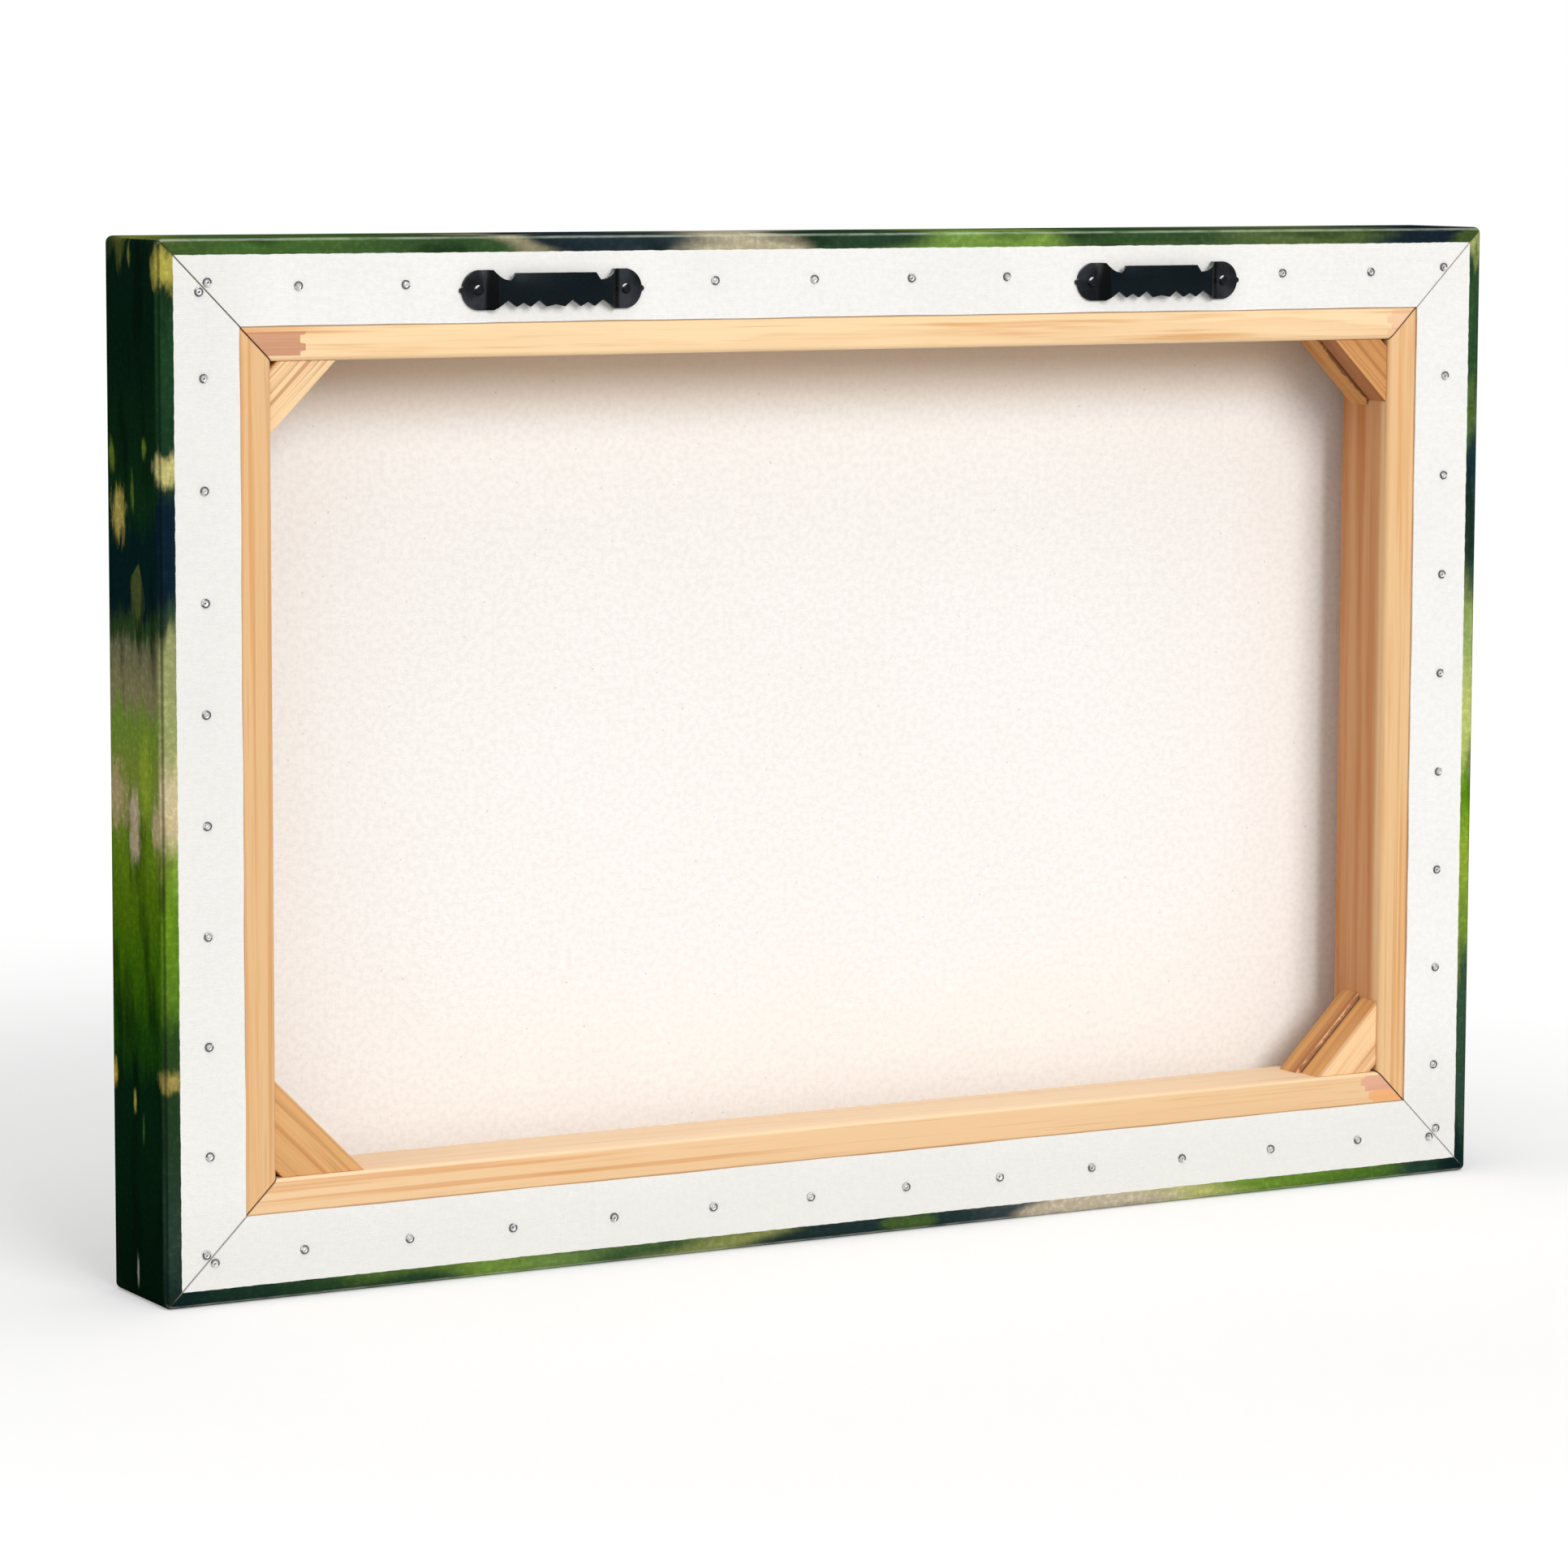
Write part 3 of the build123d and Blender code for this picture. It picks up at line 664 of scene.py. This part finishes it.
def tack_centres(node):
    """Where each tack stands: the middle of every separate solid of the CAD node."""
    shape = bmesh.new()
    shape.from_mesh(nodes[node].data)
    bmesh.ops.remove_doubles(shape, verts=shape.verts, dist=1e-6)
    waiting = set(shape.verts)
    centres = []
    while waiting:
        island = [waiting.pop()]
        for vert in island:
            for edge in vert.link_edges:
                other = edge.other_vert(vert)
                if other in waiting:
                    waiting.remove(other)
                    island.append(other)
        xs = [v.co.x for v in island]
        zs = [v.co.z for v in island]
        centres.append(((min(xs) + max(xs)) / 2, (min(zs) + max(zs)) / 2))
    shape.free()
    return sorted(centres)


TACK_PROFILE = (         # radius and height above the flap, in mm, from the middle outwards
    (0.0, 0.44), (0.20, 0.40), (0.30, 0.27), (0.74, 0.22), (0.92, 0.34),
    (0.99, 0.60), (1.07, 0.70), (1.17, 0.72), (1.26, 0.58), (1.32, 0.30), (1.32, 0.02),
    (0.50, 0.0), (0.50, -7.4), (0.0, -8.9),
)
CUP_CENTRE = 3           # profile points that make the raised nib in the cup
CUP_BANDS = 4            # bands of faces inside the rim
RIM_CREST = range(5, 9)  # profile points of the rim's crest
RIM_BANDS = range(4, 9)  # bands of faces that make the rim
CUP_FLOOR = 0.22         # height of the cup's floor, in mm


def make_tacks(node, rim, cup):
    """Dished tack heads, each driven in a little differently."""
    around = 20            # points round a tack
    verts = []
    faces = []
    kinds = []             # 0 for the rim, 1 for the cup and for a gap in the rim painted as a highlight
    for x, z in tack_centres(node):
        tilt = math.radians(random.uniform(1.0, 5.0))
        facing = random.uniform(0, 2 * math.pi)
        low_side = random.uniform(0, 2 * math.pi)
        dent = random.uniform(0.15, 0.5)
        open_from = random.uniform(0.1, 0.95)
        dark_pin = random.random() < 0.45
        nib = random.uniform(0.2, 1.0)
        nib_x = random.uniform(-0.22, 0.22)
        nib_z = random.uniform(-0.22, 0.22)
        rings = []
        for number, (radius, height) in enumerate(TACK_PROFILE):
            ring = []
            steps = 1 if radius == 0 else around
            for k in range(steps):
                angle = 2 * math.pi * k / around
                up = height
                px = radius * math.cos(angle)
                pz = radius * math.sin(angle)
                if number in RIM_CREST:
                    notch = max(0.0, math.cos(angle - low_side)) ** 6
                    up -= dent * notch * (height - 0.25)
                if number < CUP_CENTRE:
                    up = CUP_FLOOR + (height - CUP_FLOOR) * nib
                    px += nib_x
                    pz += nib_z
                if height > 0:
                    up += tilt * (px * math.cos(facing) + pz * math.sin(facing))
                    up = max(up, 0.02)
                ring.append(len(verts))
                verts.append((x + px / 1000, BACK + up / 1000, z + pz / 1000))
            rings.append(ring)
        for number in range(len(rings) - 1):
            inner, outer = rings[number], rings[number + 1]
            for k in range(around):
                n = (k + 1) % around
                if len(inner) == 1:
                    face = (inner[0], outer[n], outer[k])
                elif len(outer) == 1:
                    face = (inner[k], inner[n], outer[0])
                else:
                    face = (inner[k], inner[n], outer[n], outer[k])
                faces.append(face)
                middle = 2 * math.pi * (k + 0.5) / around
                # A gap in the rim takes the pale cup steel as a painted highlight.
                rim_highlight = math.cos(middle - low_side) > open_from and number in RIM_BANDS
                pin = number < CUP_CENTRE - 1 and dark_pin
                kinds.append(1 if (number < CUP_BANDS and not pin) or rim_highlight else 0)
    mesh = bpy.data.meshes.new(node + "_mesh")
    mesh.from_pydata(verts, [], faces)
    mesh.materials.append(rim)
    mesh.materials.append(cup)
    for polygon, kind in zip(mesh.polygons, kinds):
        polygon.material_index = kind
        polygon.use_smooth = True
    return link(mesh, node + "_look")


def side_points(half, count):
    return [-half + 2 * half * k / count for k in range(count + 1)]


def on_sheet(side, run, out):
    """A point of the unfolded cloth: run along one side, and out from the picture's middle."""
    return {0: (run, -out), 1: (out, run), 2: (-run, out), 3: (-out, -run)}[side]


def make_cloth():
    """One folded sheet: picture, sides, and four flaps cut apart at the mitres."""
    across = 152           # cells along X
    upward = 101           # cells along Z
    arc = 6                # steps round each corner of the outline
    fold_steps = 6         # steps round each fold
    side_steps = 13        # steps across a side
    flap_rows = 13         # rows of a flap
    half_x = HALF_W - FOLD
    half_z = HEIGHT / 2 - FOLD
    xs = side_points(half_x, across)
    zs = side_points(half_z, upward)
    verts = []
    faces = []
    face_uvs = []

    def vertex(x, y, z):
        verts.append((x, y, z + HEIGHT / 2))
        return len(verts) - 1

    # Picture.
    grid = [[vertex(x, FRONT, z) for x in xs] for z in zs]
    on_picture = {(x, z): grid[j][i] for j, z in enumerate(zs) for i, x in enumerate(xs)}
    for j in range(upward):
        for i in range(across):
            faces.append((grid[j][i], grid[j][i + 1], grid[j + 1][i + 1], grid[j + 1][i]))
            face_uvs.append([(xs[i], zs[j]), (xs[i + 1], zs[j]),
                             (xs[i + 1], zs[j + 1]), (xs[i], zs[j + 1])])

    # Round the outside, ring by ring: bottom, +X side, top and -X side, numbered 0 to 3.
    runs = [
        ([(x, zs[0]) for x in xs], -90),
        ([(xs[-1], z) for z in zs], 0),
        ([(x, zs[-1]) for x in reversed(xs)], 90),
        ([(xs[0], z) for z in reversed(zs)], 180),
    ]
    stations = []          # point on the picture, outward angle, side, run along that side
    for number, (points, facing) in enumerate(runs):
        last = half_x if number % 2 == 0 else half_z
        for k, point in enumerate(points):
            along = -last + 2 * last * k / (len(points) - 1)
            stations.append((point, facing, number, along))
        for k in range(1, arc):
            turn = 90 * k / arc
            stations.append((points[-1], facing + turn, number, None))

    def ring(offset, y):
        if offset < 1e-9:
            shared = {}
            loop = []
            for point, _, _, _ in stations:
                if point not in shared:
                    shared[point] = vertex(point[0], y, point[1])
                loop.append(shared[point])
            return loop
        loop = []
        for (x, z), angle, _, _ in stations:
            a = math.radians(angle)
            loop.append(vertex(x + offset * math.cos(a), y, z + offset * math.sin(a)))
        return loop

    def cloth_uv(index, owner, distance):
        """Place on the unfolded cloth of one station, seen as part of the owner's side."""
        _, angle, number, along = stations[index]
        last = half_x if owner % 2 == 0 else half_z
        other = half_z if owner % 2 == 0 else half_x
        if along is not None and number == owner:
            run = along
        elif number == owner:
            run = last + FOLD * math.radians(angle - runs[owner][1])
        else:
            turn = (runs[owner][1] - (angle if along is None else runs[number][1])) % 360
            run = -last - FOLD * math.radians(turn) if turn < 180 else last
            if along is not None and (number - owner) % 4 == 1:
                run = last + FOLD * math.radians(90)
        return on_sheet(owner, run, other + distance)

    def owner_of(index):
        """The side that a station belongs to; a corner is shared half and half."""
        _, angle, number, along = stations[index]
        if along is not None or angle - runs[number][1] < 45:
            return number
        return (number + 1) % 4

    levels = []
    for k in range(1, fold_steps + 1):
        a = math.pi / 2 * k / fold_steps
        levels.append((FOLD * math.sin(a), FRONT + FOLD * (1 - math.cos(a)), FOLD * a))
    bent = FOLD * math.pi / 2
    straight = DEPTH - 2 * FOLD
    for k in range(1, side_steps + 1):
        part = straight * k / side_steps
        levels.append((FOLD, FRONT + FOLD + part, bent + part))
    for k in range(1, fold_steps + 1):
        a = math.pi / 2 * k / fold_steps
        off = FOLD * math.cos(a) if k < fold_steps else 0.0
        levels.append((off, BACK - FOLD * (1 - math.sin(a)), bent + straight + FOLD * a))

    previous = [on_picture[point] for point, _, _, _ in stations]
    travelled = 0.0
    count = len(stations)
    for offset, y, distance in levels:
        loop = ring(offset, y)
        for k in range(count):
            n = (k + 1) % count
            corners = [previous[k], loop[k], loop[n], previous[n]]
            owner = owner_of(k)
            places = [cloth_uv(k, owner, travelled), cloth_uv(k, owner, distance),
                      cloth_uv(n, owner, distance), cloth_uv(n, owner, travelled)]
            kept = [c for c in range(4) if corners[c] not in corners[:c]]
            if len(kept) >= 3:
                faces.append(tuple(corners[c] for c in kept))
                face_uvs.append([places[c] for c in kept])
        previous = loop
        travelled = distance

    # Flaps on the back, each a strip that narrows along its mitres.
    start = 0
    for number, (points, facing) in enumerate(runs):
        size = len(points)
        last = half_x if number % 2 == 0 else half_z
        other = half_z if number % 2 == 0 else half_x
        row = previous[start:start + size]
        place_row = [(-last + 2 * last * k / (size - 1), other + travelled)
                     for k in range(size)]
        outward = (math.cos(math.radians(facing)), math.sin(math.radians(facing)))
        forward = (-outward[1], outward[0])
        for r in range(1, flap_rows + 1):
            inset = (FLAP - FOLD) * r / flap_rows
            reach = last - inset - SLIT * min(1.0, r / 2) * math.sqrt(2)
            new_row = []
            new_places = []
            for k in range(size):
                along = reach * (-1 + 2 * k / (size - 1))
                lift, pull = flap_wave(number, along, inset + FOLD, reach)
                depth = inset + pull
                x = outward[0] * (other - depth) + forward[0] * along
                z = outward[1] * (other - depth) + forward[1] * along
                new_row.append(vertex(x, BACK + lift, z))
                new_places.append((along, other + travelled + inset))
            for k in range(size - 1):
                faces.append((row[k], new_row[k], new_row[k + 1], row[k + 1]))
                corner_places = [place_row[k], new_places[k], new_places[k + 1], place_row[k + 1]]
                face_uvs.append([on_sheet(number, run, out) for run, out in corner_places])
            row = new_row
            place_row = new_places
        start += size + arc - 1

    mesh = bpy.data.meshes.new("canvas_cloth")
    mesh.from_pydata(verts, [], faces)
    layer = mesh.uv_layers.new(name="Weave")
    corner = 0
    for places in face_uvs:
        for place in places:
            layer.data[corner].uv = place
            corner += 1
    mesh.validate()
    for polygon in mesh.polygons:
        polygon.use_smooth = True
    uses = {}
    for polygon in mesh.polygons:
        for key in polygon.edge_keys:
            uses[key] = uses.get(key, 0) + 1
    for edge in mesh.edges:
        edge.use_edge_sharp = uses[edge.key] == 1
    return mesh


def flap_wave(number, along, inset, reach):
    """How far the flap stands off the bar, and how far its edge wanders, at one point."""
    pitch, middle = (LEVEL_PITCH, 0.0) if number % 2 == 0 else (UPRIGHT_PITCH, UPRIGHT_SHIFT)
    between = 0.5 + 0.5 * math.cos(2 * math.pi * (along - middle) / pitch)
    from_tack = abs(inset - TACK_INSET) / (FLAP - TACK_INSET)
    stuck = 0.006          # the part next to the fold never lifts freely
    free = max(0.0, (inset - stuck) / (FLAP - stuck))
    ripple = math.sin(along * 310 + number * 1.7) * math.sin(along * 97 + number)
    lift = 0.00003 * between * min(1.0, inset / stuck)
    lift += 0.00006 * free * free * (0.6 + 0.4 * ripple) * (0.4 + 0.6 * between)
    lift *= 0.35 + 0.65 * min(1.0, from_tack)
    top_side = number == 2
    if top_side and abs(abs(along) - HANGER_X) < HANGER_REACH:
        lift = 0.0
    pull = 0.00007 * free * (math.sin(along * 71 + 2.3 * number)
                             + 0.6 * math.sin(along * 187 + number))
    edge = min(1.0, (reach - abs(along)) / 0.004)
    return lift * max(0.0, edge), pull * max(0.0, edge)


# The folded cloth.
cloth_mesh = make_cloth()
cloth = link(cloth_mesh, "canvas_cloth")
cloth_mesh.materials.append(make_canvas_face())
cloth_mesh.materials.append(make_raw_canvas())
thickness = cloth.modifiers.new("thickness", "SOLIDIFY")
thickness.thickness = CLOTH
thickness.offset = -1
thickness.use_even_offset = True
thickness.material_offset = 1
thickness.material_offset_rim = 1
place_piece(cloth, "canvas", "canvas")
SIDES = ("top", "bottom", "left", "right")

# Bars and corner blocks.
BAR_LOOKS = {            # grain direction and shift, pale and honey colours, heartwood with painted shade, streaks
    "top": ("x", (0.31, 0.004, -0.262), (252, 222, 178), (242, 206, 158), 0.0, 0.70),
    "bottom": ("x", (1.7, 0.020, -0.020), (230, 197, 154), (217, 176, 130), 0.0, 0.60),
    "left": ("z", (2.4, 0.011, 0.205), (230, 194, 146), (218, 174, 122), 0.80, 0.60),
    "right": ("z", (3.9, 0.002, -0.190), (228, 188, 140), (214, 170, 118), 0.3, 0.60),
}
for side, look in BAR_LOOKS.items():
    node = "stretcher_bar_" + side
    bar = eased_copy(node, 0.00015, make_bar_wood(node, *look))
    place_piece(bar, "pine", node)

GOLD = ((224, 166, 86), (180, 112, 44))
BLOCK_LOOKS = {          # grain direction, pale and honey colours, sawn edges back and front
    "top_left": ("up", (228, 176, 112), (184, 122, 64), ((176, 108, 54), (132, 72, 34)), GOLD),
    "top_right": ("down", (246, 216, 172), (234, 192, 142), GOLD, GOLD),
    "bottom_left": ("down", (248, 214, 168), (232, 186, 134), GOLD, ((210, 148, 68), (160, 92, 30))),
    "bottom_right": ("up", (224, 178, 120), (204, 152, 94), GOLD, GOLD),
}
for number, (corner, (along, pale, honey, *sawn)) in enumerate(BLOCK_LOOKS.items()):
    back_node = "corner_block_" + corner + "_back"
    meeting_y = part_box(back_node)[0].y
    for layer, slide, cut_colours in (("back", 0.0, sawn[0]), ("front", 0.004, sawn[1])):
        node = "corner_block_" + corner + "_" + layer
        shift = (0.7 * number + 0.3, slide + 0.003 * number, -0.05 - 0.013 * number - slide)
        wood = make_block_wood(corner + "_" + layer, along, shift, meeting_y, pale, honey,
                               cut_colours)
        block = eased_copy(node, 0.00035, wood)
        place_piece(block, "pine_block", node)

# Hangers, nails and tacks.
black = make_enamel()
nail_black = make_nail_black()
# The rim's darker steel is partly the steel's own tone, partly painted shade round each head.
tack_rim = make_steel("tack_rim", srgb(66, 68, 72), srgb(122, 124, 128), 0.42, 0.65)
tack_cup = make_steel("tack_cup", srgb(196, 196, 194), srgb(226, 226, 224), 0.35, 0.6)
nail_steel = make_steel("v_nail_steel", srgb(120, 122, 124), srgb(170, 170, 170), 0.35, 0.95)
for side in ("left", "right"):
    hanger = eased_copy("sawtooth_hanger_" + side, 0.00018, black)
    place_piece(hanger, "black_steel", "sawtooth_hanger_" + side)
    nails = eased_copy("hanger_nails_" + side, 0.00035, nail_black)
    place_piece(nails, "black_nail", "hanger_nails_" + side)
for side in SIDES:
    tacks = make_tacks("tacks_" + side, tack_rim, tack_cup)
    place_piece(tacks, "tack_steel", "tacks_" + side)
for corner in BLOCK_LOOKS:
    vnails = eased_copy("v_nails_" + corner, 0.00008, nail_steel)
    place_piece(vnails, "nail_steel", "v_nails_" + corner)


# ---- floor, light and camera ------------------------------------------------------------
def make_floor():
    """Plain pale floor, lifted a little for the camera so that it meets the white room."""
    s = Shader("floor")
    place = s.position()
    soft = s.noise(s.stretch(place, (3, 3, 3)), detail=3.0)
    fine = s.noise(s.stretch(place, (400, 400, 400)), detail=2.0)
    colour = s.mix(soft, srgb(214, 214, 214), srgb(220, 220, 220))
    seen = s.add("LightPath").outputs["Is Camera Ray"]
    x, y, _ = s.split(place)
    away = s.math("SQRT", s.times_plus(x, x, s.times(y, y)))
    glow = s.times(seen, s.fade(away, 0.12, 0.70, 0.29, 0.44))
    return s.finish(base_color=colour, roughness=0.9, specular_ior_level=0.1,
                    emission_color=(1, 1, 1, 1), emission_strength=glow,
                    normal=s.bump(fine, 0.0001, 0.2))


FLOOR_RADIUS = 6.0
floor_mesh = bpy.data.meshes.new("floor")
ring_count = 96
floor_points = [(FLOOR_RADIUS * math.cos(2 * math.pi * k / ring_count),
                 FLOOR_RADIUS * math.sin(2 * math.pi * k / ring_count), 0.0)
                for k in range(ring_count)]
floor_mesh.from_pydata(floor_points, [], [tuple(range(ring_count))])
floor_mesh.materials.append(make_floor())
floor = link(floor_mesh, "floor")
floor.location.z = -0.0001     # just clear of the object's foot

AMBIENT = 0.30           # light from all round; the camera sees a plain white room
world = bpy.data.worlds.new("studio")
bpy.context.scene.world = world
world.use_nodes = True
world_tree = world.node_tree
world_tree.nodes.clear()
seen = world_tree.nodes.new("ShaderNodeLightPath")
strength = world_tree.nodes.new("ShaderNodeMapRange")
strength.inputs["To Min"].default_value = AMBIENT
strength.inputs["To Max"].default_value = 1.0
background = world_tree.nodes.new("ShaderNodeBackground")
background.inputs["Color"].default_value = (1, 1, 1, 1)
world_out = world_tree.nodes.new("ShaderNodeOutputWorld")
world_tree.links.new(seen.outputs["Is Camera Ray"], strength.inputs["Value"])
world_tree.links.new(strength.outputs[0], background.inputs["Strength"])
world_tree.links.new(background.outputs[0], world_out.inputs[0])

CENTRE = Vector((0, 0, HEIGHT / 2))


def soft_sun(name, towards, strength, spread, colour=(1, 1, 1)):
    """A broad distant light, even over the whole floor, with soft-edged shadows."""
    lamp = bpy.data.lights.new(name, "SUN")
    lamp.energy = strength
    lamp.angle = spread
    lamp.color = colour
    light = bpy.data.objects.new(name, lamp)
    direction = Vector(towards).normalized()
    light.location = CENTRE + direction
    light.rotation_mode = "QUATERNION"
    light.rotation_quaternion = (-direction).to_track_quat("-Z", "Y")
    bpy.context.scene.collection.objects.link(light)


soft_sun("key", (-0.04, 1.0, 0.43), 1.93, 0.54, (1.0, 0.995, 0.985))
soft_sun("fill", (1.0, 0.50, 0.15), 0.75, 1.3)
soft_sun("overhead", (0.05, 0.12, 1.0), 1.0, 1.0)

CAMERA_AZIMUTH = math.radians(29.67)     # from +Y towards +X
CAMERA_PITCH = math.radians(6.7)         # downwards
CAMERA_ROLL = math.radians(0.2)
CAMERA_PLACE = Vector((0.868, 1.496, 0.340))
forward = Vector((
    -math.sin(CAMERA_AZIMUTH) * math.cos(CAMERA_PITCH),
    -math.cos(CAMERA_AZIMUTH) * math.cos(CAMERA_PITCH),
    -math.sin(CAMERA_PITCH),
))
level_right = forward.cross(Vector((0, 0, 1))).normalized()
level_up = level_right.cross(forward)
right = math.cos(CAMERA_ROLL) * level_right + math.sin(CAMERA_ROLL) * level_up
up = -math.sin(CAMERA_ROLL) * level_right + math.cos(CAMERA_ROLL) * level_up
camera_data = bpy.data.cameras.new("camera")
camera_data.sensor_width = 36.0
camera_data.lens = 131.1
camera = bpy.data.objects.new("camera", camera_data)
camera.matrix_world = Matrix.Translation(CAMERA_PLACE) @ Matrix(
    (right, up, -forward)).transposed().to_4x4()
bpy.context.scene.collection.objects.link(camera)
bpy.context.scene.camera = camera
bpy.context.scene.view_settings.view_transform = "Standard"
